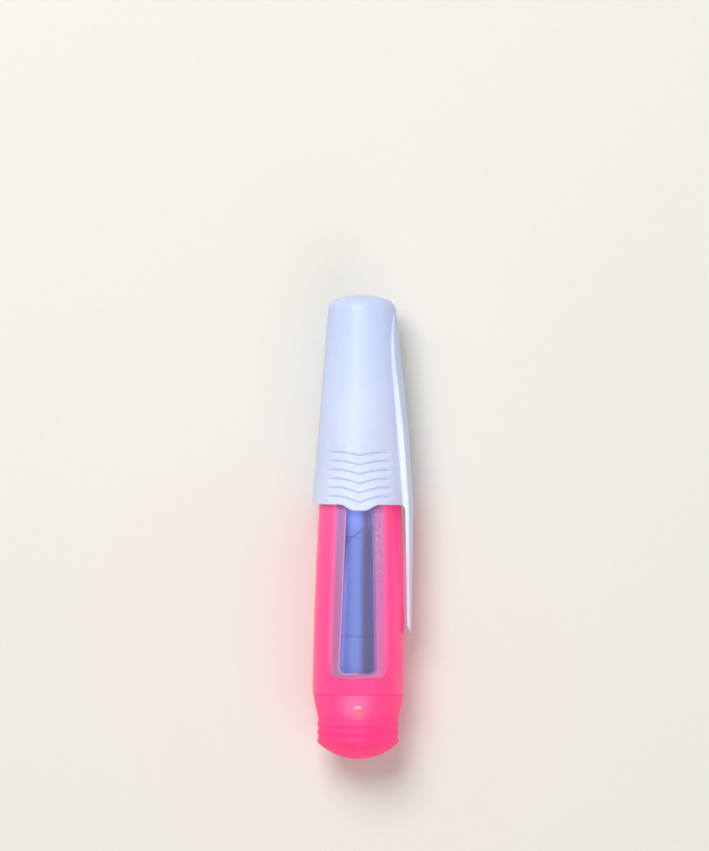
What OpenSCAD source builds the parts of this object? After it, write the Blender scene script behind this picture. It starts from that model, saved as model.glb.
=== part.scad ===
// Chalk wheel marker for cloth: a capped pen whose toothed wheel lays a thin line of chalk powder.
// Each piece is drawn upright on the pen's own axis, from the tail tip at zero, with the window
// toward -Y and the clip toward +X. on_table() then lays it down: the cap points to +Y, the window
// looks up and the origin is on the table under the middle of the box. All sizes are in mm.

/* [Cap] */
// Length of the cap from its rim to the top of its dome
cap_len = 36.7; // [34:0.1:44]
// Wall thickness of the cap
cap_wall = 1.15; // [0.8:0.05:1.5]
// Thickness of the cap's closed end
cap_end = 1.7; // [1.2:0.1:2.4]
// Taper of the cap on each side, in degrees
cap_taper = 4.25; // [3.6:0.05:4.8]
// Radius of the shallow dome on the closed end
cap_dome_r = 13.6; // [11:0.1:18]
// Rounding between the dome and the tapered side
cap_edge_r = 2; // [0.8:0.1:2.4]
// How far the tongue reaches below the rim on the window side
tongue_len = 1.05; // [0.4:0.05:2]
// Width of the tongue where it leaves the rim
tongue_w = 7; // [5:0.1:8]
// Width of each of the tongue's curved sides
tongue_side = 2.6; // [1.6:0.1:3.2]

/* [Grip waves on the cap] */
// Number of waves
wave_count = 6; // [3:1:8]
// Spacing of the waves along the cap
wave_pitch = 1.54; // [1.2:0.01:1.8]
// Height of the lowest wave above the rim
wave_start = 1.35; // [1.3:0.05:3]
// Height of one groove, from its upper edge to where its lower slope runs out
wave_w = 1.1; // [0.6:0.05:1.2]
// Share of that height taken by the groove's steep upper wall
wave_steep = 0.28; // [0.1:0.02:0.5]
// Depth of a groove
wave_depth = 0.44; // [0.2:0.02:0.5]
// Width of the lowest groove across the cap
wave_span_low = 11.9; // [9:0.1:12.4]
// Width of the highest groove across the cap
wave_span_high = 11.2; // [8:0.1:11.6]
// Length over which a groove runs out at each end
wave_fade = 3.2; // [1:0.1:3.8]
// Share of a wave's width that its dip takes up
wave_dip_share = 0.62; // [0.4:0.02:0.9]
// Dip of the lowest wave at its middle
wave_dip_low = 1.1; // [0.5:0.05:1.3]
// Dip of the highest wave at its middle
wave_dip_high = 0.62; // [0.3:0.02:0.9]

/* [Clip] */
// Length of the free blade below the rim
clip_len = 22.5; // [18:0.1:26]
// Width of the clip at the rim
clip_w = 7.7; // [6:0.1:8.4]
// Width of the blade just before its rounded tip
clip_tip_w = 5; // [4:0.1:6]
// Thickness of the blade at the rim
clip_root_t = 1.42; // [1.1:0.02:1.6]
// Thickness of the blade at the tip
clip_tip_t = 0.8; // [0.6:0.05:0.9]
// How far the clip stands proud of the cap
clip_proud = 0.97; // [0.7:0.01:1.2]
// How much the blade leans in toward its tip
clip_lean = 0.12; // [0:0.02:0.3]
// Distance from the top of the cap down to the top of the rib that carries the clip
clip_drop = 1.8; // [1.5:0.1:4]
// Length over which the rib rises from the cap's side
clip_rise = 22; // [14:0.5:26]
// Length of the rib's rounded top
clip_round = 11; // [6:0.5:14]
// Rounding between the rim and the inside of the blade
clip_fillet = 1; // [0.5:0.1:1.4]

/* [Barrel] */
// Length of the barrel that shows, from the tail seam to the cap's rim
barrel_show = 33.2; // [30:0.1:42]
// Radius of the straight grip land beside the seam, the widest place
grip_r = 8.05; // [7.95:0.01:8.3]
// Length of the grip land
grip_len = 3.6; // [3:0.1:4.4]
// Radius half way between the grip land and the rim
mid_r = 7.74; // [7.55:0.01:7.85]
// Radius at the cap's rim
rim_r = 7.17; // [7:0.01:7.3]
// Rounding of the barrel's open end at the seam
seam_edge = 0.12; // [0.05:0.01:0.2]
// Radius of the tapered bore at the seam
bore_tail_r = 6.75; // [6.6:0.01:6.85]
// Radius of the tapered bore where it meets the neck
bore_cap_r = 5.8; // [5.6:0.02:5.9]
// How far the full body runs on inside the cap
shoulder_len = 1.3; // [1:0.1:2]
// Length of the neck that the cap slides over
neck_len = 8.2; // [7.5:0.1:9.5]
// Outer radius of the neck
neck_r = 6.2; // [6.1:0.01:6.3]
// Radius of the bore through the neck
neck_bore_r = 5; // [4.9:0.01:5.1]
// Distance from the shoulder to the middle of the bead that grips the cap
bead_pos = 4.4; // [3:0.1:5.5]
// Length of that bead along the neck
bead_len = 1.6; // [1:0.1:2.2]

/* [Window] */
// Width of the window slot at the tail end
window_tail_w = 9.7; // [8.8:0.1:9.8]
// Width of the window slot at the cap's rim
window_cap_w = 8.4; // [7.4:0.1:8.5]
// Distance from the tail seam to the window
window_start = 3; // [2.6:0.1:4]
// Distance from the window to the barrel's shoulder inside the cap
window_bridge = 0.4; // [0.3:0.05:0.8]
// Rounding of the window's corners
window_corner_r = 1.1; // [0.6:0.1:1.6]

/* [Chalk tube] */
// How far the tube's edge hides behind each side of the window
tube_margin = 0.15; // [0.1:0.05:0.3]
// How far the tube runs below the tail seam, into the tail cap
tube_tail_len = 2.6; // [2:0.1:3]
// Radius of the tube's bore at the tail end of the window
chalk_tail_r = 3.4; // [3:0.05:3.5]
// Radius of the tube's bore at the cap's rim
chalk_cap_r = 2.3; // [2.1:0.05:2.5]

/* [Window pane] */
// How far the tube's clear pane lies below the barrel's surface
pane_drop = 0.15; // [0.1:0.05:0.4]
// Thickness of the pane in front of the chalk
pane_wall = 1.2; // [0.8:0.1:1.6]
// Distance from each end of the window to the chalk chamber behind the pane
pane_end = 0.8; // [0.6:0.1:1.4]
// How much narrower the chamber is than the bore, on each side
chamber_step = 0.1; // [0.08:0.01:0.2]

/* [Tail cap] */
// Length of the tail cap that shows
tail_len = 11.4; // [10.8:0.1:13]
// Radius of the tail cap at the seam
tail_top_r = 7.9; // [7.7:0.01:7.95]
// Height of the waist above the tip
waist_pos = 6.9; // [6.6:0.05:7.6]
// Radius of the rib crests
rib_r = 7.17; // [7.1:0.01:7.3]
// Height of each rib
rib_h = 0.22; // [0.1:0.02:0.3]
// Number of ribs
rib_count = 3; // [2:1:4]
// Spacing of the ribs
rib_pitch = 1.475; // [1.2:0.005:1.5]
// Distance from the waist to the first crest
rib_start = 0.73; // [0.6:0.01:0.8]
// Height of the round pad above the tip, measured to its middle
pad_pos = 8.3; // [7.9:0.01:8.5]
// Diameter of the round pad
pad_d = 5; // [4:0.1:5.4]
// How far the pad stands proud
pad_h = 0.2; // [0.15:0.05:0.5]
// Diameter of the pip in the middle of the pad
pip_d = 2.4; // [1.8:0.1:2.8]
// How far the pip stands proud of the pad
pip_h = 0.3; // [0.2:0.05:0.5]
// How far the collar of the tail cap runs into the barrel
spigot_len = 2.2; // [1.6:0.1:2.4]
// How far the stopper runs into the tube
stopper_len = 3.4; // [2.4:0.1:3.8]
// Thickness of the tail cap's end, from its tip to the floor of its hollow
tail_end = 4; // [3:0.1:5]

/* [Nose and wheel] */
// Length of the two halves inside the neck
nose_root_len = 6; // [5:0.1:6.2]
// How far the chalk tube seats in the halves
tube_seat = 2; // [1.5:0.1:2.5]
// Length of the collar that holds the halves together
collar_len = 3; // [2:0.1:4]
// Outer radius of the collar
collar_r = 6.05; // [5.8:0.05:6.1]
// Radius of the nose just above the collar
nose_r = 5.6; // [5.4:0.05:5.8]
// Length of the nose above the collar
nose_len = 16; // [15:0.1:17]
// Radius of the nose at its tip
nose_tip_r = 2; // [1.9:0.05:2.3]
// Distance from the nose tip back to the wheel's axle
axle_back = 1.7; // [1.5:0.05:2]
// Radius of the wheel over its teeth
wheel_r = 3.3; // [3:0.05:3.4]
// Thickness of the wheel at its hub
wheel_t = 1; // [0.8:0.05:1.1]
// Thickness of the wheel at its teeth
wheel_edge_t = 0.45; // [0.3:0.05:0.6]
// Number of teeth
tooth_count = 28; // [20:1:36]
// Depth of the teeth
tooth_depth = 0.4; // [0.3:0.05:0.5]
// Radius of the axle
axle_r = 0.6; // [0.5:0.01:0.65]
// Length of the axle
axle_len = 3.5; // [3.2:0.1:3.7]

/* [Fits] */
// Gap all round between the cap and the barrel that it slides over
cap_fit = 0.08; // [0.06:0.01:0.1]
// Gap all round between pieces that are pushed together
push_fit = 0.04; // [0.02:0.01:0.06]
// Gap all round between the wheel's bore and the axle
run_fit = 0.04; // [0.02:0.01:0.08]
// Gap between the wheel and the walls of its slot
wheel_gap = 0.2; // [0.15:0.01:0.3]

/* [Hidden] */
$fn = 96;

// Heights along the pen, from the tail tip
seam_s = tail_len;
rim_s = seam_s + barrel_show;
top_s = rim_s + cap_len;
grip_top_s = seam_s + seam_edge + grip_len;
window_s = seam_s + window_start;
shoulder_s = rim_s + shoulder_len;
window_top_s = shoulder_s - window_bridge;
neck_top_s = shoulder_s + neck_len;
collar_top_s = neck_top_s + collar_len;
nose_base_s = neck_top_s - nose_root_len;
nose_top_s = collar_top_s + nose_len;
axle_s = nose_top_s - axle_back;
tube_low_s = seam_s - tube_tail_len;
tube_top_s = nose_base_s + tube_seat;
stopper_s = tube_low_s + stopper_len;
clip_tip_s = rim_s - clip_len;
rib_top_s = top_s - clip_drop;

// The cap fits over the barrel, so its outside follows from the barrel's rim
cap_in_r = rim_r + cap_fit;
cap_rim_r = cap_in_r + cap_wall;
cap_slope = tan(cap_taper);
clip_reach = cap_rim_r + clip_proud;
cap_in_top_s = top_s - cap_end;

// How far cutting shapes run past what they cut
past = 1;
reach = clip_reach + past;
// Steps in a curved outline
steps = 14;
// Powers of the curves that the dips of the waves, the rise of the clip's rib and the tail cap's flank follow
dip_power = 1.3;
rise_power = 0.7;
flank_power = 1.15;

function arc(centre, r, from, to, n) =
    [for (i = [0 : n]) centre + r * [cos(from + (to - from) * i / n), sin(from + (to - from) * i / n)]];
function blend(a, b, t) = a + (b - a) * t;
function ease(t) = t <= 0 ? 0 : t >= 1 ? 1 : t * t * (3 - 2 * t);
function chevron(x, half) = abs(x) >= half ? 0 : pow(1 - abs(x) / half, dip_power);
function flip(points) = [for (i = [len(points) - 1 : -1 : 0]) [-points[i].x, points[i].y]];

// Outer radius of the cap's tapered side at height s
function cap_r(s) = cap_rim_r - (s - rim_s) * cap_slope;
function cap_bore_r(s) = cap_r(s) - cap_wall;

// Outer radius of the barrel above the grip land: one parabola through three radii
function barrel_u(s) = (s - grip_top_s) / (rim_s - grip_top_s);
function parabola(a, b, c, u) = a * (1 - u) * (1 - 2 * u) + 4 * b * u * (1 - u) + c * u * (2 * u - 1);
function barrel_r(s) = parabola(grip_r, mid_r, rim_r, barrel_u(s));
// Outer radius of the tail cap between its waist and the seam
waist_r = rib_r - rib_h;
function tail_r(s) = tail_top_r - (tail_top_r - waist_r) * pow((seam_s - s) / (seam_s - waist_pos), flank_power);
// Radius of the barrel's bore
bore_top_s = shoulder_s - (neck_r - neck_bore_r);
function bore_r(s) = blend(bore_tail_r, bore_cap_r, (s - seam_s) / (bore_top_s - seam_s));

// Half width of the window, and the tube behind it, at height s
function window_half(s) = blend(window_tail_w, window_cap_w, (s - window_s) / (rim_s - window_s)) / 2;
function tube_r(s) = window_half(s) + tube_margin;
function tube_bore_r(s) = blend(chalk_tail_r, chalk_cap_r, (s - window_s) / (rim_s - window_s));

module on_table() {
    side = (clip_reach - cap_rim_r) / 2;
    translate([-side, -top_s / 2, cap_rim_r]) rotate([-90, 0, 0]) children();
}

// Turns an outline of [radius, height] points about the pen's axis
module turned(points) {
    rotate_extrude() polygon(points);
}

// Extrudes an outline of [x, height] points from the axis toward the window side
module frontward(depth) {
    rotate([90, 0, 0]) linear_extrude(height = depth) children();
}

// Extrudes an outline of [y, height] points from the axis toward the clip side
module sideward(depth) {
    rotate([90, 0, 90]) linear_extrude(height = depth) children();
}

// Cap

module cap_outside() {
    // The edge rounding touches both the tapered side and the dome
    side_n = [cos(cap_taper), sin(cap_taper)];
    side_t = [-sin(cap_taper), cos(cap_taper)];
    dome_c = [0, top_s - cap_dome_r];
    off = side_n * ([cap_rim_r, rim_s] - dome_c) - cap_edge_r;
    along = sqrt(pow(cap_dome_r - cap_edge_r, 2) - off * off);
    edge_c = dome_c + side_n * off + side_t * along;
    edge_a = atan2(edge_c.y - dome_c.y, edge_c.x);
    low_s = rim_s - tongue_len - past;
    turned(concat(
        [[0, low_s], [cap_r(low_s), low_s]],
        arc(edge_c, cap_edge_r, cap_taper, edge_a, 8),
        arc(dome_c, cap_dome_r, edge_a + 2, 90, 10)));
}

module cap_cavity() {
    low_s = rim_s - tongue_len - past;
    corner = cap_wall / 2;
    turned([[0, low_s], [cap_bore_r(low_s), low_s],
            [cap_bore_r(cap_in_top_s - corner), cap_in_top_s - corner],
            [cap_bore_r(cap_in_top_s) - corner, cap_in_top_s], [0, cap_in_top_s]]);
}

// What is cut away below the rim, all but the tongue on the window side
module cap_rim_cut() {
    low_s = rim_s - tongue_len - 2 * past;
    half = tongue_w / 2;
    edge = [for (i = [-steps : steps]) let (x = half * i / steps)
        [x, rim_s - tongue_len * ease((half - abs(x)) / tongue_side)]];
    frontward(reach)
        polygon(concat([[-reach, low_s], [-reach, rim_s]], edge, [[reach, rim_s], [reach, low_s]]));
    translate([-reach, 0, low_s]) cube([2 * reach, reach, rim_s - low_s]);
}

// Grooves that follow a chevron across the cap. Each has a steep upper wall and a long lower slope.
// The cutter rises out of the cap at both ends, so a groove grows narrow and shallow there.
function wave_dip(i) = blend(wave_dip_low, wave_dip_high, i / (wave_count - 1));
function wave_half(i) = blend(wave_span_low, wave_span_high, i / (wave_count - 1)) / 2;
function wave_s(i, x) =
    rim_s + wave_start + i * wave_pitch - wave_dip(i) * chevron(x, wave_dip_share * wave_half(i));

module cap_wave(i) {
    n = 2 * steps;
    half = wave_half(i) + wave_fade / 2;
    out = wave_depth + past / 4;
    up = wave_w * wave_steep * out / wave_depth;
    down = wave_w * (1 - wave_steep) * out / wave_depth;
    ring = [for (j = [0 : n])
        let (x = half * (2 * j / n - 1), s = wave_s(i, x), r = cap_r(s),
             deep = wave_depth * (2 * ease((half - abs(x)) / wave_fade) - 1),
             y = -(sqrt(r * r - x * x) - deep))
        each [[x, y, s], [x, y - out, s + up], [x, y - out, s - down]]];
    sides = [for (j = [0 : n - 1]) for (k = [0 : 2])
        let (a = 3 * j + k, b = 3 * j + (k + 1) % 3)
        each [[b, a, a + 3], [b, a + 3, b + 3]]];
    polyhedron(ring, concat([[0, 1, 2]], sides, [[3 * n, 3 * n + 2, 3 * n + 1]]));
}

module cap_waves() {
    for (i = [0 : wave_count - 1]) cap_wave(i);
}

// Clip: the outer face is round about the pen's axis and the inner face is flat
clip_slope = clip_lean / clip_len;
function blade_out(s) = clip_reach - (rim_s - s) * clip_slope;
function blade_t(s) = blend(clip_tip_t, clip_root_t, (s - clip_tip_s) / clip_len);
function blade_in(s) = blade_out(s) - blade_t(s);
function rib_out(s) = cap_r(s) + clip_proud * pow((rib_top_s - s) / clip_rise, rise_power);

module clip_envelope() {
    rib = [for (i = [0 : steps]) let (s = rib_top_s - clip_rise * (1 - i / steps)) [rib_out(s), s]];
    turned(concat(
        [[0, clip_tip_s], [blade_out(clip_tip_s) - clip_tip_t / 2, clip_tip_s]],
        arc([blade_out(clip_tip_s) - clip_tip_t / 2, clip_tip_s + clip_tip_t / 2], clip_tip_t / 2, -60, 0, 4),
        [[clip_reach, rim_s]], rib, [[0, rib_top_s]]));
}

module clip_side_outline() {
    x_in = blade_in(rim_s - clip_fillet);
    bevel = 2 * clip_tip_t;
    polygon(concat(
        [[cap_bore_r(rib_top_s) - past, rim_s], [cap_bore_r(rib_top_s) - past, rib_top_s], [reach, rib_top_s],
         [reach, clip_tip_s], [blade_out(clip_tip_s) - clip_tip_t / 3, clip_tip_s],
         [blade_in(clip_tip_s + bevel), clip_tip_s + bevel]],
        arc([x_in - clip_fillet, rim_s - clip_fillet], clip_fillet, 0, 90, 6)));
}

module clip_front_outline() {
    half = clip_w / 2;
    tip = clip_tip_w / 2;
    round_s = rib_top_s - clip_round;
    right = concat(
        [for (i = [0 : 10]) let (a = 9 * i) [tip * sin(a), clip_tip_s + tip * (1 - cos(a)) / 2]],
        [[half, rim_s]],
        [for (i = [0 : 10]) let (a = 9 * i) [half * cos(a), round_s + clip_round * sin(a)]]);
    polygon(concat(right, flip(right)));
}

module clip_solid() {
    intersection() {
        clip_envelope();
        translate([0, reach, 0]) frontward(2 * reach) clip_side_outline();
        sideward(reach) clip_front_outline();
    }
}

module cap() {
    color([0.83, 0.88, 1]) on_table() difference() {
        union() {
            difference() {
                cap_outside();
                cap_rim_cut();
            }
            clip_solid();
        }
        cap_cavity();
        cap_waves();
    }
}

// Barrel

module barrel_outside() {
    bead_s = shoulder_s + bead_pos;
    bead_r = cap_bore_r(bead_s + bead_len / 2) - cap_fit;
    turned(concat(
        [[0, seam_s], [grip_r - seam_edge, seam_s], [grip_r, seam_s + seam_edge]],
        [for (i = [0 : steps]) let (s = blend(grip_top_s, rim_s, i / steps)) [barrel_r(s), s]],
        [[cap_bore_r(shoulder_s) - cap_fit, shoulder_s], [neck_r, shoulder_s],
         [neck_r, bead_s - bead_len / 2], [bead_r, bead_s - bead_len / 8], [bead_r, bead_s + bead_len / 8],
         [neck_r, bead_s + bead_len / 2], [neck_r, neck_top_s], [0, neck_top_s]]));
}

// Slot with round corners between two heights, given its half width at each, less a gap all round
module slot_outline(low_s, high_s, low_half, high_half, gap) {
    c = window_corner_r;
    right = concat(
        arc([low_half - c, low_s + c], c - gap, -90, 0, 6),
        arc([high_half - c / 2, high_s - c / 2], c / 2 - gap, 0, 90, 4));
    polygon(concat(right, flip(right)));
}

module window_outline(gap = 0) {
    slot_outline(window_s, window_top_s, window_half(window_s), window_half(window_top_s), gap);
}

module barrel() {
    low_s = seam_s - past;
    color([1, 0.3, 0.58, 0.75]) on_table() difference() {
        barrel_outside();
        turned([[0, low_s], [bore_r(low_s), low_s], [bore_r(bore_top_s), bore_top_s],
                [neck_bore_r, bore_top_s], [neck_bore_r, neck_top_s + past], [0, neck_top_s + past]]);
        frontward(reach) window_outline();
    }
}

// Chalk tube and its filling

tube_end_r = tube_r(nose_base_s);

// Round body that follows the barrel's surface at a depth below it, beside the window
module below_surface(depth) {
    low_s = window_s - past;
    high_s = window_top_s + past;
    turned(concat(
        [[0, low_s]],
        [for (i = [0 : steps]) let (s = blend(low_s, high_s, i / steps)) [min(grip_r, barrel_r(s)) - depth, s]],
        [[0, high_s]]));
}

// The tube's pane fills the window from its bore outward
module window_pane() {
    intersection() {
        below_surface(pane_drop);
        frontward(reach) window_outline(push_fit);
    }
}

// Chamber that brings the chalk up behind the pane, less a gap for the chalk itself
module chalk_chamber(gap = 0) {
    low_s = window_s + pane_end;
    high_s = window_top_s - pane_end;
    intersection() {
        below_surface(pane_drop + pane_wall + gap);
        frontward(reach)
            slot_outline(low_s, high_s, tube_bore_r(low_s) - chamber_step, tube_bore_r(high_s) - chamber_step, gap);
    }
}

module chalk_tube() {
    low_s = tube_low_s - past;
    color([0.9, 0.93, 1, 0.5]) on_table() difference() {
        union() {
            turned([[0, tube_low_s], [tube_r(tube_low_s), tube_low_s], [tube_end_r, nose_base_s],
                    [tube_end_r, tube_top_s], [0, tube_top_s]]);
            window_pane();
        }
        turned([[0, low_s], [tube_bore_r(low_s), low_s], [tube_bore_r(nose_base_s), nose_base_s],
                [tube_bore_r(nose_base_s), tube_top_s + past], [0, tube_top_s + past]]);
        chalk_chamber();
    }
}

feed_low_r = tube_bore_r(nose_base_s);
feed_high_r = wheel_t;
feed_top_s = axle_s - wheel_r - wheel_gap;

module chalk_powder() {
    g = push_fit;
    low_s = stopper_s + g;
    color([0.42, 0.5, 0.88]) on_table() union() {
        turned([[0, low_s], [tube_bore_r(low_s) - g, low_s], [feed_low_r - g, nose_base_s],
                [feed_low_r - g, tube_top_s], [feed_high_r - g, feed_top_s - g], [0, feed_top_s - g]]);
        chalk_chamber(g);
    }
}

// Tail cap: pulled off by its ribs to fill the tube

function tail_rib_r(s) = rib_r - rib_h * (1 - cos(360 * (waist_pos - rib_start - s) / rib_pitch)) / 2;

module tail_outside() {
    rib_low_s = waist_pos - rib_start - rib_pitch * (rib_count - 0.75);
    // The dome closes the end below the last rib, from its foot down to the tip
    foot_r = tail_rib_r(rib_low_s);
    dome_r = (foot_r * foot_r + rib_low_s * rib_low_s) / (2 * rib_low_s);
    dome_a = asin(foot_r / dome_r);
    n = 8 * rib_count;
    flank = steps / 2;
    spigot_s = seam_s + spigot_len;
    turned(concat(
        [for (i = [0 : 10]) let (a = dome_a * i / 10) dome_r * [sin(a), 1 - cos(a)]],
        [for (i = [1 : n - 1]) let (s = blend(rib_low_s, waist_pos, i / n)) [tail_rib_r(s), s]],
        [for (i = [0 : flank]) let (s = blend(waist_pos, seam_s - seam_edge, i / flank)) [tail_r(s), s]],
        [[tail_top_r - seam_edge, seam_s], [bore_r(seam_s) - push_fit, seam_s],
         [bore_r(spigot_s - seam_edge) - push_fit, spigot_s - seam_edge],
         [bore_r(spigot_s) - push_fit - seam_edge, spigot_s], [0, spigot_s]]));
}

module pad_place(slope) {
    translate([0, -tail_r(pad_pos), pad_pos]) rotate([90 + slope, 0, 0]) children();
}

// Round pad that follows the tail cap's surface, with a domed pip square to the slope
module tail_pad() {
    slope = atan2(tail_r(pad_pos + past) - tail_r(pad_pos - past), 2 * past);
    r = pip_d / 2;
    dome_r = (r * r + pip_h * pip_h) / (2 * pip_h);
    dome_a = asin(r / dome_r);
    low_s = pad_pos - pad_d / 2 - pad_h;
    high_s = seam_s - seam_edge;
    intersection() {
        turned(concat(
            [[0, low_s]],
            [for (i = [0 : steps]) let (s = blend(low_s, high_s, i / steps)) [tail_r(s) + pad_h, s]],
            [[0, high_s]]));
        pad_place(slope) cylinder(d = pad_d, h = 2 * past, center = true);
    }
    pad_place(slope) translate([0, 0, pad_h]) turned(concat(
        [[0, -2 * pad_h], [r, -2 * pad_h]],
        [for (i = [0 : 6]) let (a = dome_a * (1 - i / 6)) [dome_r * sin(a), pip_h - dome_r * (1 - cos(a))]]));
}

module tail_hollow() {
    tube_hole_r = tube_r(tube_low_s) + push_fit;
    high_s = seam_s + spigot_len + past;
    difference() {
        translate([0, 0, tail_end]) cylinder(r = tube_hole_r, h = high_s - tail_end);
        turned([[0, tail_end - past], [tube_bore_r(tube_low_s) - push_fit, tail_end - past],
                [tube_bore_r(tube_low_s) - push_fit, tube_low_s],
                [tube_bore_r(stopper_s) - push_fit, stopper_s], [0, stopper_s]]);
    }
}

module tail_cap() {
    color([1, 0.26, 0.52]) on_table() difference() {
        union() {
            tail_outside();
            tail_pad();
        }
        tail_hollow();
    }
}

// Nose: two halves that trap the wheel on its axle, and the collar round them

nose_root_r = neck_bore_r - push_fit;

module nose_outside() {
    face = 0.6;
    round = 0.6;
    turned([[0, nose_base_s], [nose_root_r, nose_base_s], [nose_root_r, collar_top_s],
            [nose_r, collar_top_s], [nose_r, collar_top_s + face],
            [blend(nose_r, nose_tip_r, 0.74), blend(collar_top_s, nose_top_s, 0.74)],
            [nose_tip_r, nose_top_s - round], [nose_tip_r - round, nose_top_s], [0, nose_top_s]]);
}

module nose_inside() {
    turned([[0, nose_base_s - past], [tube_end_r + push_fit, nose_base_s - past],
            [tube_end_r + push_fit, tube_top_s], [feed_low_r, tube_top_s],
            [feed_high_r, feed_top_s], [feed_high_r, axle_s], [0, axle_s]]);
    translate([0, 0, axle_s]) rotate([0, 90, 0])
        cylinder(r = wheel_r + wheel_gap, h = wheel_t + 2 * wheel_gap, center = true);
    translate([0, 0, axle_s]) rotate([0, 90, 0])
        cylinder(r = axle_r + push_fit, h = axle_len + 2 * push_fit, center = true, $fn = 48);
}

// Half of the nose on one side of the wheel: -1 is the left half and 1 the right half
module nose_half(side) {
    difference() {
        intersection() {
            nose_outside();
            translate([side > 0 ? 0 : -reach, -reach, nose_base_s - past])
                cube([reach, 2 * reach, nose_top_s - nose_base_s + 2 * past]);
        }
        nose_inside();
    }
}

module nose_left() {
    color([0.95, 0.95, 0.97]) on_table() nose_half(-1);
}

module nose_right() {
    color([0.9, 0.9, 0.93]) on_table() nose_half(1);
}

module nose_collar() {
    edge = 0.3;
    r = nose_root_r + push_fit;
    color([1, 0.3, 0.58]) on_table()
        turned([[r, neck_top_s], [collar_r, neck_top_s], [collar_r, collar_top_s - edge],
                [collar_r - edge, collar_top_s], [r, collar_top_s]]);
}

// Wheel

module wheel_axle() {
    color([0.75, 0.76, 0.78]) on_table()
        translate([0, 0, axle_s]) rotate([0, 90, 0]) cylinder(r = axle_r, h = axle_len, center = true, $fn = 48);
}

module chalk_wheel() {
    step = 360 / tooth_count;
    root_r = wheel_r - tooth_depth;
    // Turns in parts of one tooth: root, foot, tip, tip
    teeth = [for (i = [0 : tooth_count - 1])
        each [for (k = [[0, root_r], [0.2, root_r], [0.52, wheel_r], [0.68, wheel_r]])
            k[1] * [cos(step * (i + k[0])), sin(step * (i + k[0]))]]];
    hub_r = root_r - tooth_depth;
    color([0.8, 0.8, 0.82]) on_table()
        translate([0, 0, axle_s]) rotate([0, 90, 0])
            difference() {
                intersection() {
                    linear_extrude(height = wheel_t, center = true) polygon(teeth);
                    turned([[0, -wheel_t / 2], [hub_r, -wheel_t / 2], [wheel_r, -wheel_edge_t / 2],
                            [wheel_r, wheel_edge_t / 2], [hub_r, wheel_t / 2], [0, wheel_t / 2]]);
                }
                cylinder(r = axle_r + run_fit, h = wheel_t + 2 * past, center = true, $fn = 48);
            }
}

cap();
barrel();
chalk_tube();
chalk_powder();
tail_cap();
nose_left();
nose_right();
nose_collar();
wheel_axle();
chalk_wheel();
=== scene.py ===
"""Looks of the chalk wheel marker: soft-edged moulded pieces, see-through plastics and blue chalk.

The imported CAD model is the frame. Each operator below finishes one piece or one group of pieces,
and the last one sets the stage. The scene is in metres: the pen lies along Y with its cap toward +Y,
its window looks up to +Z and its pocket clip is toward +X. A finish has its places in millimetres on
the pen itself: across toward the clip, height from the tail tip, and up toward the window.
"""

import math

import bmesh
import bpy
from mathutils import Matrix, Vector


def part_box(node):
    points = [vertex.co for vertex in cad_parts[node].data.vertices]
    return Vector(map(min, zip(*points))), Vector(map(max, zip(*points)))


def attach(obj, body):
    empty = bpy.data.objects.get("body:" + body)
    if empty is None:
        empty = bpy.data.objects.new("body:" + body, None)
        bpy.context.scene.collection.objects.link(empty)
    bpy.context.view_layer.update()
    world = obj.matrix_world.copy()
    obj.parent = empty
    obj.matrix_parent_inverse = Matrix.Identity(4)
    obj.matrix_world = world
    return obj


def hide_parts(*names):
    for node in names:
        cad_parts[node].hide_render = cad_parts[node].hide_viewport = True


bl_info = {
    "name": "Chalk Wheel Marker",
    "version": (1, 0, 0),
    "blender": (4, 5, 0),
    "location": "View3D > Sidebar > Chalk Marker",
    "description": "Finishes a capped chalk marker around its packed CAD frame",
    "category": "Object",
}

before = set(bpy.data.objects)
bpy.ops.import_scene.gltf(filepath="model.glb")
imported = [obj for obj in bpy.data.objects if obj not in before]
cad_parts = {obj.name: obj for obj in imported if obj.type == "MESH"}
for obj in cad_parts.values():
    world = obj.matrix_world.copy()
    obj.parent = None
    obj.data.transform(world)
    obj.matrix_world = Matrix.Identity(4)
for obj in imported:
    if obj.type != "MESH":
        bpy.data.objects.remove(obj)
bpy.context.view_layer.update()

MM = 0.001
BLACK = (0.0, 0.0, 0.0, 1.0)
WHITE = (1.0, 1.0, 1.0, 1.0)

# Places that follow from the frame
TIP_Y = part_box("tail_cap")[0].y
BARREL_LOW, BARREL_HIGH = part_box("barrel")
AXIS_X = (BARREL_LOW.x + BARREL_HIGH.x) / 2
AXIS_Z = (BARREL_LOW.z + BARREL_HIGH.z) / 2

# The window slot: its lower end, the cap's rim over its upper part, and its half width at these two
WINDOW_LOW, RIM = 14.4, 44.6
WINDOW_HALF = (4.85, 4.2)

# The part of the pane that the chalk shows through: its lower end, the radius of its corners, and its
# reach to the left and to the right at the same two heights
CHALK_LOW, CHALK_CORNER = 15.2, 1.0
CHALK_LEFT, CHALK_RIGHT = (3.25, 2.22), (2.95, 2.22)

# Where the powder has caked: the level that it settled to with a pale ledge under it, a clump, and a
# crack that is level up to its bend and climbs beyond it
CAKE_LEVEL, LEDGE_DROP = 21.6, 0.45
CLUMP = (-2.0, 38.2, 6.0)
CRACK_HEIGHT, CRACK_BEND, CRACK_SLOPE = 38.9, -1.2, 0.78

# The cap's outer radius at its rim, and how much it loses with each millimetre above it
CAP_RIM_RADIUS, CAP_SLOPE = 8.4, 0.0743

# Heights between which painted shade makes the cap darker and bluer toward its closed end
CAP_SHADE_FROM, CAP_SHADE_TO = 52.0, 80.0

# The clip's half width at the rim and at its tip, its length below the rim, and the height from which
# its rib closes toward the cap's end
CLIP_HALF, CLIP_TIP_HALF, CLIP_LENGTH = 3.85, 2.5, 22.5
CLIP_CLOSING, CLIP_CLOSING_RATE = 68.5, 0.02
CLIP_TIP = RIM - CLIP_LENGTH
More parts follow.
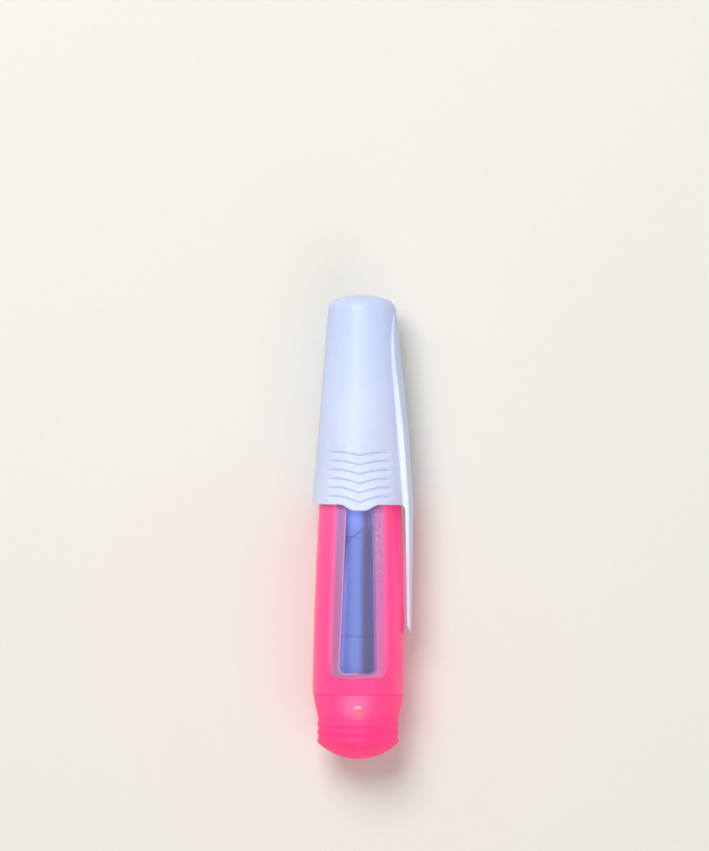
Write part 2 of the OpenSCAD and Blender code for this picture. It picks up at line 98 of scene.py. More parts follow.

# Heights between which the painted highlight on the clip's sides grows stronger downward, and the
# distances across between which its blade turns from its face to its inside
CLIP_HIGHLIGHT_FROM, CLIP_HIGHLIGHT_TO = 78.0, 50.0
BLADE_FACE, BLADE_INSIDE = 9.05, 8.5

# The pip on the tail cap with its painted glint, the painted highlight on the rim of the round pad that it
# stands on, and the painted soft light about them
PIP_HEIGHT, PIP_REACH, PIP_RADIUS = 8.3, 7.85, 1.3
GLINT_RISE = 0.95
PAD_RADIUS, PAD_INNER = 2.35, 1.6
HALO, HALO_RADIUS = (-0.3, PIP_HEIGHT + 1.6, PIP_REACH), 2.3

# Height of the nose from which chalk dust clings to it, and where the dust is full
NOSE_DUST_FROM, NOSE_DUST_TO = 62.0, 72.0

# Refraction of the clear plastic, and the most that its surface mirrors
CLEAR_IOR, CLEAR_GLOSS = 1.45, 0.2

# The frame's photograph is 709 by 851 pixels, and a ruler in it gives its scale
PHOTO_W, PHOTO_H = 709, 851
PHOTO_MM_PER_PX = 0.1752
PEN_TOP_PX, PEN_TIP_PX = 295.0, 758.9
PEN_MID_PX = 359.9
PEN_ROLL_DEG = 0.5
# The photograph looks a little from the clip's side
CLIP_SIDE_DEG = 1.1

# The stage, in metres, and the camera's sensor in millimetres
FLOOR_HALF = 3.0
KEY_PLACE, KEY_SIZE = (-0.15, 0.32, 0.58), 0.35
FILL_PLACE, FILL_SIZE = (0.24, -0.44, 0.42), 0.6
SENSOR_HEIGHT = 24.0


def linear(value):
    """Linear light for one sRGB channel."""
    return value / 12.92 if value <= 0.04045 else ((value + 0.055) / 1.055) ** 2.4


def srgb(r, g, b, a=1.0):
    """Linear colour from sRGB channels that run from 0 to 255."""
    return (linear(r / 255), linear(g / 255), linear(b / 255), a)


# Sizes and colours a user would change


def length_mm(name, description, default):
    return bpy.props.FloatProperty(name=name, description=description, default=default, min=0.0)


def colour(name, description, rgb):
    return bpy.props.FloatVectorProperty(
        name=name, description=description, subtype="COLOR", size=4, min=0.0, max=1.0, default=srgb(*rgb)
    )


def share(name, description, default):
    return bpy.props.FloatProperty(
        name=name, description=description, subtype="FACTOR", min=0.0, max=1.0, default=default
    )


def power(name, description, default):
    return bpy.props.FloatProperty(name=name, description=description, default=default, unit="POWER")


class MarkerSizes(bpy.types.PropertyGroup):
    grid: length_mm("Grid", "Grid that the moulded pieces are remeshed on, in millimetres", 0.09)
    soften: bpy.props.IntProperty(
        name="Soften", description="Passes that round the moulded edges", default=4, min=0, max=20
    )
    keep: share("Keep", "Share of the remeshed faces that is kept", 0.15)


class MarkerColours(bpy.types.PropertyGroup):
    cap: colour("Cap", "Pale periwinkle of the cap and clip", (213, 223, 249))
    cap_deep: colour("Cap, deep", "Slightly deeper tone in the cap's cloudy parts", (204, 214, 246))
    # Painted shade: a darker, bluer tone toward the cap's closed end
    cap_end_shade: colour("Cap, closed end", "Bluer tone toward the cap's closed end", (195, 210, 248))
    # Painted highlight on the clip's thin sides
    clip_side_highlight: colour("Clip, sides", "Paler tone of the clip's thin sides", (238, 244, 255))
    # Painted reflection: the barrel's pink on the blade's inside and on the rim's lip
    clip_pink_reflection: colour("Clip, blush", "Pink that the barrel lends to the blade's inside", (236, 190, 232))
    barrel: colour("Barrel", "Hot pink of the translucent barrel", (255, 80, 154))
    # Deeper pink of the plastic's clouds, and painted shade on the barrel's flanks
    barrel_deep_and_shade: colour("Barrel, deep", "Deeper pink on the barrel's flanks", (255, 68, 138))
    # Painted highlight: lighter pink by the window, behind the clip, by the pane and on the pad's rim
    pink_highlight: colour("Barrel, edge", "Lighter pink where the wall ends at the window", (255, 116, 176))
    tail: colour("Tail cap", "Deep pink of the tail cap", (255, 60, 131))
    # Painted highlight above the ribs and about the pip
    tail_highlight: colour("Tail cap, light", "Softer pink around the pip", (255, 112, 166))
    tail_deep: colour("Tail cap, deep", "Deeper pink in the tail cap's cloudy parts", (255, 52, 122))
    pip: colour("Pip", "Salmon of the pip on the tail cap", (252, 108, 138))
    # Painted highlight on the pip
    pip_glint: colour("Pip, glint", "Pale crescent on the pip", (255, 190, 208))
    # Painted shade on the pane left of the chalk
    pane_left_shaded: colour("Pane, left", "Mauve of the pane to the left of the chalk", (188, 120, 168))
    # Painted light on the pane right of the chalk
    pane_right_lit: colour("Pane, right", "Orchid of the pane to the right of the chalk", (222, 124, 190))
    # A paler tone on the pane's right near the cap
    pane_paler: colour("Pane, dusty", "Paler orchid of the pane near the cap", (202, 138, 194))
    # Painted highlight: a lavender line along the chalk's left
    pane_highlight: colour("Pane, line", "Lavender line along the chalk", (206, 164, 238))
    pane_shade: colour("Pane, shade", "Purple shade of the pane to the right of the chalk", (142, 112, 176))
    dust: colour("Dust", "Chalk dust on the clear plastic", (168, 150, 214))
    chalk: colour("Chalk", "Blue of the chalk powder", (118, 136, 211))
    # Deeper blue: random grain, painted shade along the filling's left, painted light by the slate at its
    # right edge
    chalk_deep: colour("Chalk, deep", "Deeper blue along the left of the filling", (104, 120, 198))
    # Painted light along the filling's left edge; also the pale ledge under the settled level
    chalk_edge: colour("Chalk, edge", "Lavender along the filling's left edge", (144, 146, 230))
    chalk_slate: colour("Chalk, slate", "Slate of the filling's shaded right side", (97, 92, 137))
    chalk_crack: colour("Chalk, cracks", "Dark blue where the powder has parted", (74, 80, 136))
    nose: colour("Nose", "White of the two nose halves", (236, 238, 244))
    steel: colour("Steel", "Bright steel of the wheel and its axle", (190, 192, 198))


class MarkerStage(bpy.types.PropertyGroup):
    floor: colour("Floor", "Pale floor under the marker", (232, 228, 221))
    camera_height: bpy.props.FloatProperty(
        name="Camera height", description="Height of the camera over the floor", default=1.6, unit="LENGTH"
    )
    key: power("Key", "Power of the key light", 3.25)
    fill: power("Fill", "Power of the fill light", 1.0)
    world: bpy.props.FloatProperty(
        name="World", description="Strength of the even light all round", default=0.42
    )


# Shaders


class Value:
    """A shader socket that carries a number. Python's operators on it add Math nodes."""

    def __init__(self, finish, socket):
        self.finish = finish
        self.socket = socket

    def math(self, operation, *values):
        return self.finish.add("ShaderNodeMath", {"operation": operation}, dict(enumerate(values)))

    def __add__(self, other):
        return self.math("ADD", self, other)

    def __sub__(self, other):
        return self.math("SUBTRACT", self, other)

    def __rsub__(self, other):
        return self.math("SUBTRACT", other, self)

    def __mul__(self, other):
        return self.math("MULTIPLY", self, other)

    __radd__ = __add__
    __rmul__ = __mul__

    def __pow__(self, other):
        return self.math("POWER", self, other)

    def __abs__(self):
        return self.math("ABSOLUTE", self)

    def above(self, least):
        """How far the value lies above a least value, or 0."""
        return self.math("MAXIMUM", self - least, 0.0)

    def most(self, limit):
        """The value, kept from rising over a limit."""
        return self.math("MINIMUM", self, limit)

    def step(self, low, high):
        """Smooth step from 0 at low to 1 at high, where low may also lie above high."""
        if low > high:
            return 1 - self.step(high, low)
        settings = {"interpolation_type": "SMOOTHSTEP"}
        inputs = {"Value": self, "From Min": low, "From Max": high}
        return self.finish.add("ShaderNodeMapRange", settings, inputs)


class Finish:
    """A procedural material whose places are in millimetres on the pen's own axis."""

    def __init__(self, name, **constants):
        self.material = bpy.data.materials.new(name)
        self.material.use_nodes = True
        self.tree = self.material.node_tree
        self.shader = self.tree.nodes["Principled BSDF"]
        self.set(**constants)
        here = self.add("ShaderNodeTexCoord", {}, {}, "Object")
        centred = self.vector("SUBTRACT", here, (AXIS_X, TIP_Y, AXIS_Z))
        self.place = self.vector("SCALE", centred, Scale=1 / MM)

    def add(self, kind, settings, inputs, output=0):
        """Adds a node: its settings come first, then the values or links of its sockets."""
        node = self.tree.nodes.new(kind)
        for name, value in settings.items():
            setattr(node, name, value)
        for key, value in inputs.items():
            self.feed(node.inputs[key], value)
        return Value(self, node.outputs[output])

    def feed(self, socket, value):
        if isinstance(value, Value):
            self.tree.links.new(value.socket, socket)
        else:
            socket.default_value = value

    def set(self, **inputs):
        """Feeds the shader's own sockets, and gives the finish back."""
        for name, value in inputs.items():
            self.feed(self.shader.inputs[name.replace("_", " ")], value)
        return self

    def vector(self, operation, *values, **named):
        inputs = {**dict(enumerate(values)), **named}
        return self.add("ShaderNodeVectorMath", {"operation": operation}, inputs)

    def part(self, axis):
        return self.add("ShaderNodeSeparateXYZ", {}, {0: self.place}, axis)

    @property
    def across(self):
        """Distance to the right of the pen's axis, on the clip's side."""
        return self.part("X")

    @property
    def height(self):
        """Height above the tail tip."""
        return self.part("Y")

    @property
    def up(self):
        """Distance above the pen's axis, toward the window."""
        return self.part("Z")

    @property
    def radius(self):
        """Distance from the pen's axis."""
        return (self.across**2 + self.up**2) ** 0.5

    def tapered(self, pair):
        """A size that is given at the window's lower end and at the cap's rim."""
        return (self.height - WINDOW_LOW) * ((pair[1] - pair[0]) / (RIM - WINDOW_LOW)) + pair[0]

    def stretched(self, x, y, z):
        """The place with each direction scaled: a pattern on it is drawn out where the scale is small."""
        return self.vector("MULTIPLY", self.place, (x, y, z))

    def noise(self, scale, detail=2.0, rough=0.5, place=None):
        inputs = {"Vector": place or self.place, "Scale": scale, "Detail": detail, "Roughness": rough}
        return self.add("ShaderNodeTexNoise", {}, inputs, "Fac")

    def spot(self, centre, radius, soft):
        """1 inside a sphere about a place, fading over soft millimetres to each side of its radius."""
        inputs = {0: self.place, 1: centre}
        far = self.add("ShaderNodeVectorMath", {"operation": "DISTANCE"}, inputs, "Value")
        return far.step(radius + soft, radius - soft)

    def mix(self, low, high, factor):
        """A colour between low and high."""
        return self.add("ShaderNodeMix", {"data_type": "RGBA"}, {"Factor": factor, 6: low, 7: high}, 2)

    def bump(self, height, depth_mm, strength=1.0):
        """A Bump node whose full height is depth_mm."""
        inputs = {"Height": height, "Distance": depth_mm * MM, "Strength": strength}
        self.set(Normal=self.add("ShaderNodeBump", {}, inputs, "Normal"))


# Finishes


def plastic(name, pale, deep, roughness, **constants):
    """Moulded plastic: cloudy colour, faint flow lines along the pen, and fine handling marks."""
    finish = Finish(name, **constants)
    clouds = finish.noise(0.12, 3.0)
    flow = finish.noise(0.9, place=finish.stretched(1.0, 0.06, 1.0))
    fine = finish.noise(6.0)
    tone = finish.mix(pale, deep, (clouds * 0.7 + flow * 0.3).step(0.3, 0.75))
    finish.set(Base_Color=tone, Roughness=roughness + flow * 0.06 + fine * 0.05)
    finish.bump(fine * 0.4 + flow, 0.006, 0.5)
    return finish, tone


def clip_sides(finish):
    """1 on the clip's two thin sides, and 0 on its face and on the cap."""
    # The clip stands proud of the cap's taper, and below the rim there is nothing but its blade
    wall = CAP_RIM_RADIUS - (finish.height - RIM) * CAP_SLOPE
    proud = (finish.radius - wall).step(0.05, 0.25) * finish.across.step(0.0, 1.0)
    blade = finish.height.step(RIM - 0.7, RIM - 1.4)
    clip = proud * (1 - blade) + blade
    narrowing = (RIM - finish.height).above(0.0) * ((CLIP_HALF - CLIP_TIP_HALF) / CLIP_LENGTH)
    closing = finish.height.above(CLIP_CLOSING) ** 2 * CLIP_CLOSING_RATE
    half = CLIP_HALF - narrowing - closing
    return (abs(finish.up) - half).step(-0.5, -0.15) * clip


def cap_plastic(colours):
    """Pale periwinkle with painted shade at the closed end, painted highlight on the clip's sides, painted
    pink reflection by the barrel.
    """
    glow = {"Subsurface_Weight": 0.15, "Subsurface_Scale": 0.001}
    finish, tone = plastic("Periwinkle plastic", colours.cap, colours.cap_deep, 0.36, **glow)
    # Painted shade: the cap turns darker and bluer toward its closed end
    end_shade = finish.height.step(CAP_SHADE_FROM, CAP_SHADE_TO)
    tone = finish.mix(tone, colours.cap_end_shade, end_shade * 0.8)
    # Painted highlight: the clip's thin sides are paler, more so lower down
    side_highlight = finish.height.step(CLIP_HIGHLIGHT_FROM, CLIP_HIGHLIGHT_TO) * 0.6 + 0.1
    tone = finish.mix(tone, colours.clip_side_highlight, clip_sides(finish) * side_highlight)
    # Painted reflection of the barrel's pink on the blade's inside and on the lip of the rim
    blade_inside = finish.across.step(BLADE_FACE, BLADE_INSIDE) * finish.height.step(RIM - 3.0, RIM - 14.0)
    lip = finish.height.step(RIM - 0.5, RIM - 1.0) * finish.up.step(5.0, 6.0)
    tone = finish.mix(tone, colours.clip_pink_reflection, blade_inside * 0.8 + lip * 0.35)
    return finish.set(Base_Color=tone)


def barrel_plastic(colours):
    """Hot pink with painted shade on the flanks and painted light where the wall ends at the window and
    behind the clip.
    """
    # Its emission is painted light: the plastic glows a little in its own pink
    glow = {"Subsurface_Weight": 0.35, "Subsurface_Scale": 0.002, "Emission_Strength": 0.15}
    finish, tone = plastic("Hot pink plastic", colours.barrel, colours.barrel_deep_and_shade, 0.24, **glow)
    # Painted shade: the barrel's flanks turn deeper pink
    flanks = finish.across.step(-5.0, -7.2) * 0.9 + finish.across.step(-2.0, 7.0) * 0.8
    tone = finish.mix(tone, colours.barrel_deep_and_shade, flanks)
    # Painted highlight: lighter pink where the wall ends at the window
    beside_window = abs(finish.across) - finish.tapered(WINDOW_HALF)
    along = finish.height.step(WINDOW_LOW, WINDOW_LOW + 4.0) * finish.height.step(RIM + 0.8, RIM)
    wall_end = beside_window.step(1.1, 0.0) * finish.up.step(3.0, 4.0) * along
    tone = finish.mix(tone, colours.pink_highlight, wall_end * 0.6)
    # Painted light: lighter pink behind the clip, over the shade that it casts
    behind_clip = finish.height.step(CLIP_TIP - 2.0, CLIP_TIP + 7.0)
    tone = finish.mix(tone, colours.pink_highlight, finish.across.step(6.2, 7.6) * behind_clip * 0.4)
    # Painted light: the wall's end by the pane and the flank behind the clip glow brighter
    pane_light = wall_end * beside_window.step(0.2, 0.0) * 1.6
    clip_light = finish.across.step(4.5, 7.5) * behind_clip * 1.2
    lit = finish.vector("SCALE", tone, Scale=pane_light + clip_light + 1)
    return finish.set(Base_Color=tone, Emission_Color=lit)


def outside_chalk(clear):
    """Distance outside the round-cornered part of the pane that the chalk shows through."""
    left, right = clear.tapered(CHALK_LEFT), clear.tapered(CHALK_RIGHT)
    off = abs(clear.across - (right - left) * 0.5).above((left + right) * 0.5 - CHALK_CORNER)
    below = (CHALK_LOW + CHALK_CORNER - clear.height).above(0.0)
    return (off**2 + below**2) ** 0.5 - CHALK_CORNER


def pane_tint(clear, colours, outside):
    """The pane's border: painted shade in mauve on the left, painted light in orchid on the right, paler
    near the cap, painted pink highlight by the barrel.
    """
    on_left, on_right = clear.across.step(0.5, -0.5), clear.across.step(-0.5, 0.5)
    # Painted shade and light: shaded mauve on the left of the chalk, lit orchid on its right
    tone = clear.mix(colours.pane_left_shaded, colours.pane_right_lit, on_right)
    # The pane's right side turns a lighter pink toward the window's low end
    low_right = clear.height.step(WINDOW_LOW + 14.0, WINDOW_LOW) * on_right
    tone = clear.mix(tone, colours.pink_highlight, low_right * 0.45)
    streak = clear.noise(0.9, place=clear.stretched(1.0, 0.08, 1.0))
    tone = clear.mix(tone, colours.dust, streak.step(0.45, 0.7) * 0.3)
    # The pane turns paler on the right near the cap
    high_right = clear.height.step(RIM - 16.0, RIM - 6.0) * on_right
    tone = clear.mix(tone, colours.pane_paler, high_right)
    high_left = clear.height.step(RIM - 16.0, RIM - 3.0) * on_left
    tone = clear.mix(tone, colours.dust, high_left * 0.35)
    # Dark and pale grains of powder, most of them near the cap on the right
    grains = clear.noise(6.0, 1.0, place=clear.stretched(1.0, 0.8, 1.0))
    amount = high_right * 0.35 + 0.08
    tone = clear.mix(tone, colours.chalk_slate, grains.step(0.56, 0.68) * amount)
    tone = clear.mix(tone, colours.nose, grains.step(0.44, 0.32) * amount)
    # Painted light and shade: a lighter line along the chalk's left side and a shaded band along its right
    tone = clear.mix(tone, colours.pane_highlight, outside.step(0.4, 0.05) * on_left * 0.8)
    shade = clear.mix(colours.pane_shade, colours.pane_highlight, high_right * 0.15)
    tone = clear.mix(tone, shade, outside.step(0.65, 0.15) * on_right * 0.85)
    # Painted highlight: lighter pink where the pane meets the barrel
    by_barrel = (abs(clear.across) - clear.tapered(WINDOW_HALF)).step(-0.55, 0.0)
    return clear.mix(tone, colours.pink_highlight, by_barrel * 0.85)


def clear_plastic(colours):
    """Clear, dusty plastic of the tube, whose pane is tinted all round the chalk with painted light and
    shade.
    """
    clear = Finish("Dusty clear plastic", Roughness=0.14, Emission_Strength=0.35)
    outside = outside_chalk(clear)
    front = clear.up.step(3.0, 3.4) * clear.height.step(WINDOW_LOW - 0.2, WINDOW_LOW + 0.2)
    border = outside.step(-0.06, 0.06) * front
    tone = clear.mix(WHITE, pane_tint(clear, colours, outside), border)
    # Seen from inside the plastic, a slanting surface would turn into a full mirror
    gloss = clear.add("ShaderNodeFresnel", {}, {"IOR": CLEAR_IOR}).most(CLEAR_GLOSS)
    dust = clear.noise(3.2, 3.0, place=clear.stretched(1.0, 0.7, 1.0)).step(0.55, 0.75)
    skirt = clear.height.step(WINDOW_LOW - 1.0, WINDOW_LOW - 2.0)
    body = gloss + dust * 0.05 + skirt * 0.16
    clear.set(Base_Color=tone, Metallic=1 - border, Alpha=border * 0.92 + (1 - border) * body)
    # Painted light: the pane's inner sides glow in their tint
    inner_side = border * clear.up.step(6.3, 5.0)
    return clear.set(Emission_Color=clear.mix(BLACK, tone, inner_side))


def chalk_powder(colours):
    """Blue powder with painted light on its left and painted shade on its right, with a settled level, a
    clump and a crack.
    """
    chalk = Finish("Blue chalk powder", Roughness=0.95, Emission_Strength=0.22)
    drift = chalk.noise(0.35, 3.0, place=chalk.stretched(1.0, 0.2, 1.0))
    grain = chalk.noise(9.0, 3.0)
    clump = chalk.noise(1.4)
    jag = chalk.noise(2.6, 4.0, 0.7)
    # Painted light and shade: a deeper blue along the left, lit blue in the middle and slate shade on the
    # right
    side = chalk.across + (drift - 0.5) * 0.7
    tone = chalk.mix(colours.chalk_deep, colours.chalk, side.step(-1.9, -0.8))
    # Painted light: lavender along the filling's left edge, where the pane's border shades it
    left_edge = (chalk.across + chalk.tapered(CHALK_LEFT)).step(0.9, 0.15)
    left_edge = left_edge * chalk.height.step(RIM - 5.0, RIM - 15.0)
    tone = chalk.mix(tone, colours.chalk_edge, left_edge)
    tone = chalk.mix(tone, colours.chalk_slate, side.step(-0.2, 1.25))
    # Painted light: the slate turns lighter along the filling's right edge, and random grain deepens the
    # blue
    right_edge = (chalk.tapered(CHALK_RIGHT) - chalk.across).step(1.0, 0.2)
    tone = chalk.mix(tone, colours.chalk_deep, right_edge * 0.3 + grain.step(0.55, 0.8) * 0.25)
    # The settled level is a dark line with a pale ledge under it
    level = chalk.height - CAKE_LEVEL + (clump - 0.5) * 0.4
    settled = abs(level).step(0.5, 0.0) * chalk.across.step(-3.4, -2.4)
    ledge = abs(level + LEDGE_DROP).step(0.35, 0.0) * abs(chalk.across + 0.7).step(1.2, 0.4)
    # The crack wavers about its course and is broken here and there
    course = (chalk.across - CRACK_BEND).above(0.0) * CRACK_SLOPE + CRACK_HEIGHT
    waver = chalk.height - course + (clump - 0.5) * 1.2 + (jag - 0.5) * 1.8
    broken = (jag * 0.6 + drift * 0.4).step(0.36, 0.5) * chalk.across.step(1.6, 0.2)
    crack = abs(waver).step(0.42, 0.0) * broken
    lump = chalk.spot(CLUMP, 0.45, 0.35)
    tone = chalk.mix(tone, colours.chalk_edge, ledge * 0.4)
    tone = chalk.mix(tone, colours.chalk_crack, settled * 0.28 + crack * 0.5 + lump * 0.4)
    # Painted light: the powder glows a little everywhere, more under the cap's rim and along the window's
    # sides
    under_rim = chalk.height.step(RIM - 6.0, RIM - 1.0)
    light = under_rim * 2.4 + (left_edge + right_edge) * 0.8 + 1
    chalk.set(Base_Color=tone, Emission_Color=chalk.vector("SCALE", tone, Scale=light))
    chalk.bump(grain * 0.6 + clump - crack * 0.3 - settled * 0.2, 0.12)
    return chalk


def tail_plastic(colours):
    """Deep pink with painted light above the ribs and about the pip, which is salmon with a painted glint.
    """
    # Its emission is painted light: the plastic glows a little in its own pink
    glow = {
        "Subsurface_Weight": 0.3,
        "Subsurface_Scale": 0.002,
        "Emission_Strength": 0.22,
        "Specular_IOR_Level": 0.3,
    }
    finish, tone = plastic("Deep pink plastic", colours.tail, colours.tail_deep, 0.5, **glow)
    # Painted highlight: lighter above the ribs and in a soft spot above and left of the pip
    tone = finish.mix(tone, colours.tail_highlight, finish.height.step(5.0, 9.0) * 0.18)
    halo = finish.spot(HALO, HALO_RADIUS, HALO_RADIUS)
    tone = finish.mix(tone, colours.tail_highlight, halo * 0.8)
    # Painted highlight: the pad's rim is lighter on its upper left side
    place = (0.0, PIP_HEIGHT, PIP_REACH)
    ring = finish.spot(place, PAD_RADIUS, 0.35) * (1 - finish.spot(place, PAD_INNER, 0.4))
    above_pip = finish.height - PIP_HEIGHT
    upper_left = (above_pip - finish.across * 0.8).step(-0.8, 2.4)
    tone = finish.mix(tone, colours.pink_highlight, ring * upper_left * 0.4)
    pip = finish.spot(place, PIP_RADIUS, 0.28)
    tone = finish.mix(tone, colours.pip, pip)
    # Painted highlight: a pale glint across the pip's upper part
    glint = abs(above_pip - GLINT_RISE).step(0.4, 0.05) * abs(finish.across).step(0.85, 0.2) * pip
    tone = finish.mix(tone, colours.pip_glint, glint * 0.9)
    return finish.set(Base_Color=tone, Emission_Color=tone)


def nose_plastic(colours):
    """White plastic with chalk dust toward the wheel."""
    white, tone = plastic("White nose plastic", colours.nose, colours.cap, 0.3)
    near_wheel = white.height.step(NOSE_DUST_FROM, NOSE_DUST_TO)
    dust = white.noise(1.2, 3.0).step(0.5, 0.75) * near_wheel
    return white.set(Base_Color=white.mix(tone, colours.chalk, dust * 0.6))


def collar_plastic(colours):
    """The barrel's pink, without its light."""
    pink, _ = plastic("Collar plastic", colours.barrel, colours.barrel_deep_and_shade, 0.25)
    return pink


def wheel_steel(colours):
    """Bright steel with chalk caught in its worn parts."""
    steel = Finish("Bright steel", Metallic=1.0)
    grain = steel.noise(12.0, 3.0)
    wear = steel.noise(0.8, 3.0)
    chalky = steel.mix(colours.steel, colours.chalk, wear.step(0.55, 0.7) * 0.5)
    steel.set(Base_Color=chalky, Roughness=0.22 + grain * 0.12 + wear * 0.1)
    steel.bump(grain, 0.004)
    return steel


def floor_finish(tone):
    """Pale, matt and all but even."""
    pale = Finish("Pale floor", Roughness=0.9)
    deeper = [0.96 * channel for channel in tone[:3]] + [1.0]
    tooth = pale.noise(1.5)
    return pale.set(Base_Color=pale.mix(tone, deeper, tooth.step(0.3, 0.7) * 0.3))


# Meshes


def soft_copy(context, node, name, body):
    """A copy of a CAD node with rounded edges: remeshed on a fine grid, smoothed and thinned out."""
    sizes = context.scene.marker_sizes
    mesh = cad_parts[node].data.copy()
    mesh.name = name
    # Worked in millimetres, the unit of the grid
    mesh.transform(Matrix.Scale(1 / MM, 4))
    piece = bpy.data.objects.new(name, mesh)
    context.scene.collection.objects.link(piece)
    remesh = piece.modifiers.new("Grid", "REMESH")
    remesh.mode = "VOXEL"
    remesh.voxel_size = sizes.grid
    soften = piece.modifiers.new("Soften", "SMOOTH")
    soften.factor = 0.5
    soften.iterations = sizes.soften
    thin = piece.modifiers.new("Thin", "DECIMATE")
    thin.ratio = sizes.keep
    evaluated = piece.evaluated_get(context.evaluated_depsgraph_get())
    final = bpy.data.meshes.new_from_object(evaluated)
    piece.modifiers.clear()
    final.transform(Matrix.Scale(MM, 4))
    final.shade_smooth()
    piece.data = final
    final.name = name
    bpy.data.meshes.remove(mesh)
    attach(piece, body)
    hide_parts(node)
    return piece


def dress(obj, finish):
    obj.data.materials.clear()
    obj.data.materials.append(finish.material)


# Pieces


class MARKER_OT_cap(bpy.types.Operator):
    """Moulds the cap and its pocket clip in pale periwinkle plastic"""

    bl_idname = "marker.cap"
    bl_label = "Cap and clip"

    def execute(self, context):
        cap = soft_copy(context, "cap", "cap_moulding", "cap")
        dress(cap, cap_plastic(context.scene.marker_colours))
        return {"FINISHED"}


class MARKER_OT_barrel(bpy.types.Operator):
    """Moulds the hot pink barrel"""

    bl_idname = "marker.barrel"
    bl_label = "Barrel"

    def execute(self, context):
        barrel = soft_copy(context, "barrel", "barrel_moulding", "barrel")
        dress(barrel, barrel_plastic(context.scene.marker_colours))
        return {"FINISHED"}


class MARKER_OT_chalk(bpy.types.Operator):
    """Fills the clear tube with blue chalk powder"""

    bl_idname = "marker.chalk"
    bl_label = "Tube and chalk"

    def execute(self, context):
        colours = context.scene.marker_colours
        dress(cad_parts["chalk_tube"], clear_plastic(colours))
        dress(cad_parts["chalk_powder"], chalk_powder(colours))
        return {"FINISHED"}


class MARKER_OT_tail(bpy.types.Operator):
    """Moulds the ribbed tail cap with its pale pip"""

    bl_idname = "marker.tail"
    bl_label = "Tail cap"

    def execute(self, context):
        tail = soft_copy(context, "tail_cap", "tail_cap_moulding", "tail_cap")
        dress(tail, tail_plastic(context.scene.marker_colours))
        return {"FINISHED"}


class MARKER_OT_nose(bpy.types.Operator):
    """Finishes the nose halves and the collar that holds them"""

    bl_idname = "marker.nose"
    bl_label = "Nose"

    def execute(self, context):
        colours = context.scene.marker_colours
        white = nose_plastic(colours)
        for node in ("nose_left", "nose_right"):
            dress(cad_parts[node], white)
        dress(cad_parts["nose_collar"], collar_plastic(colours))
        return {"FINISHED"}


class MARKER_OT_wheel(bpy.types.Operator):
    """Finishes the toothed wheel and its axle in bright steel"""

    bl_idname = "marker.wheel"
    bl_label = "Wheel"

    def execute(self, context):
        steel = wheel_steel(context.scene.marker_colours)
        for node in ("chalk_wheel", "wheel_axle"):
            dress(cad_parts[node], steel)
        return {"FINISHED"}


# Stage


def area_light(context, name, power, size, place, target):
    light = bpy.data.lights.new(name, "AREA")
    light.energy = power
    light.size = size
    lamp = bpy.data.objects.new(name, light)
    lamp.location = place
    lamp.rotation_euler = (Vector(target) - Vector(place)).to_track_quat("-Z", "Y").to_euler()
    context.scene.collection.objects.link(lamp)


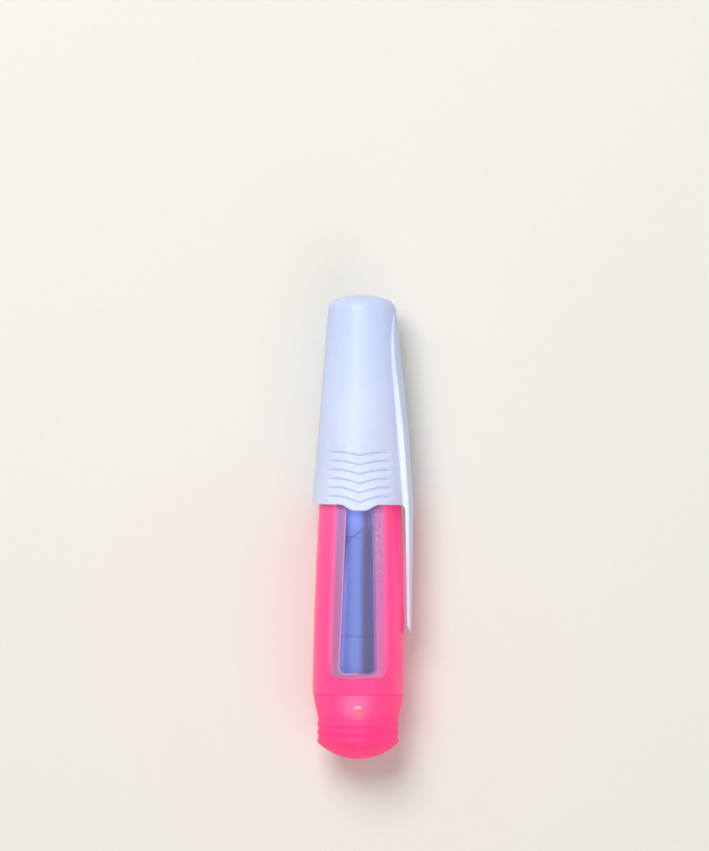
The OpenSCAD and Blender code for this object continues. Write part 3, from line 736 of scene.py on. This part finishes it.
class MARKER_OT_stage(bpy.types.Operator):
    """Lays the pale floor, hangs the soft lights and sets the camera"""

    bl_idname = "marker.stage"
    bl_label = "Stage"

    def execute(self, context):
        self.floor(context)
        self.lights(context)
        self.camera(context)
        return {"FINISHED"}

    def floor(self, context):
        mesh = bpy.data.meshes.new("floor")
        shape = bmesh.new()
        signs = ((-1, -1), (1, -1), (1, 1), (-1, 1))
        shape.faces.new([shape.verts.new((x * FLOOR_HALF, y * FLOOR_HALF, 0.0)) for x, y in signs])
        shape.to_mesh(mesh)
        shape.free()
        floor = bpy.data.objects.new("floor", mesh)
        context.scene.collection.objects.link(floor)
        dress(floor, floor_finish(context.scene.marker_stage.floor))

    def lights(self, context):
        stage = context.scene.marker_stage
        middle = (AXIS_X, 0.0, AXIS_Z)
        area_light(context, "key", stage.key, KEY_SIZE, KEY_PLACE, middle)
        area_light(context, "fill", stage.fill, FILL_SIZE, FILL_PLACE, middle)
        world = bpy.data.worlds.new("Soft room")
        world.use_nodes = True
        background = world.node_tree.nodes["Background"]
        background.inputs["Color"].default_value = WHITE
        background.inputs["Strength"].default_value = stage.world
        context.scene.world = world

    def camera(self, context):
        """Hangs the camera over the pen, seen as the photograph shows it."""
        distance = context.scene.marker_stage.camera_height - AXIS_Z
        view_height = PHOTO_H * PHOTO_MM_PER_PX * MM
        data = bpy.data.cameras.new("camera")
        data.sensor_fit = "VERTICAL"
        data.sensor_height = SENSOR_HEIGHT
        data.lens = SENSOR_HEIGHT * distance / view_height
        data.clip_start = 0.01
        data.clip_end = 20.0
        roll = math.radians(PEN_ROLL_DEG)
        pen_mid = Vector((PHOTO_W / 2 - PEN_MID_PX, (PEN_TOP_PX + PEN_TIP_PX) / 2 - PHOTO_H / 2, 0.0))
        offset = Matrix.Rotation(roll, 3, "Z") @ pen_mid * PHOTO_MM_PER_PX * MM
        place = Matrix.Translation((offset.x, offset.y, distance)) @ Matrix.Rotation(roll, 4, "Z")
        about_pen = Matrix.Rotation(math.radians(CLIP_SIDE_DEG), 4, "Y")
        camera = bpy.data.objects.new("camera", data)
        camera.matrix_world = Matrix.Translation((AXIS_X, 0.0, AXIS_Z)) @ about_pen @ place
        context.scene.collection.objects.link(camera)
        context.scene.camera = camera
        context.scene.view_settings.view_transform = "Standard"


class MARKER_PT_panel(bpy.types.Panel):
    """Lists the marker's pieces and their sizes and colours"""

    bl_idname = "MARKER_PT_panel"
    bl_label = "Chalk Marker"
    bl_space_type = "VIEW_3D"
    bl_region_type = "UI"
    bl_category = "Chalk Marker"

    def draw(self, context):
        for operator in OPERATORS:
            self.layout.operator(operator.bl_idname)
        for name in GROUPS:
            group = getattr(context.scene, name)
            box = self.layout.box()
            for key in group.bl_rna.properties.keys():
                if key not in ("rna_type", "name"):
                    box.prop(group, key)


OPERATORS = (
    MARKER_OT_cap,
    MARKER_OT_barrel,
    MARKER_OT_chalk,
    MARKER_OT_tail,
    MARKER_OT_nose,
    MARKER_OT_wheel,
    MARKER_OT_stage,
)
GROUPS = {"marker_sizes": MarkerSizes, "marker_colours": MarkerColours, "marker_stage": MarkerStage}
CLASSES = (*GROUPS.values(), *OPERATORS, MARKER_PT_panel)


def register():
    for each in CLASSES:
        bpy.utils.register_class(each)
    for name, group in GROUPS.items():
        setattr(bpy.types.Scene, name, bpy.props.PointerProperty(type=group))


def unregister():
    for name in GROUPS:
        delattr(bpy.types.Scene, name)
    for each in reversed(CLASSES):
        bpy.utils.unregister_class(each)


def main():
    register()
    for operator in OPERATORS:
        family, name = operator.bl_idname.split(".")
        getattr(getattr(bpy.ops, family), name)()


if __name__ == "__main__":
    main()
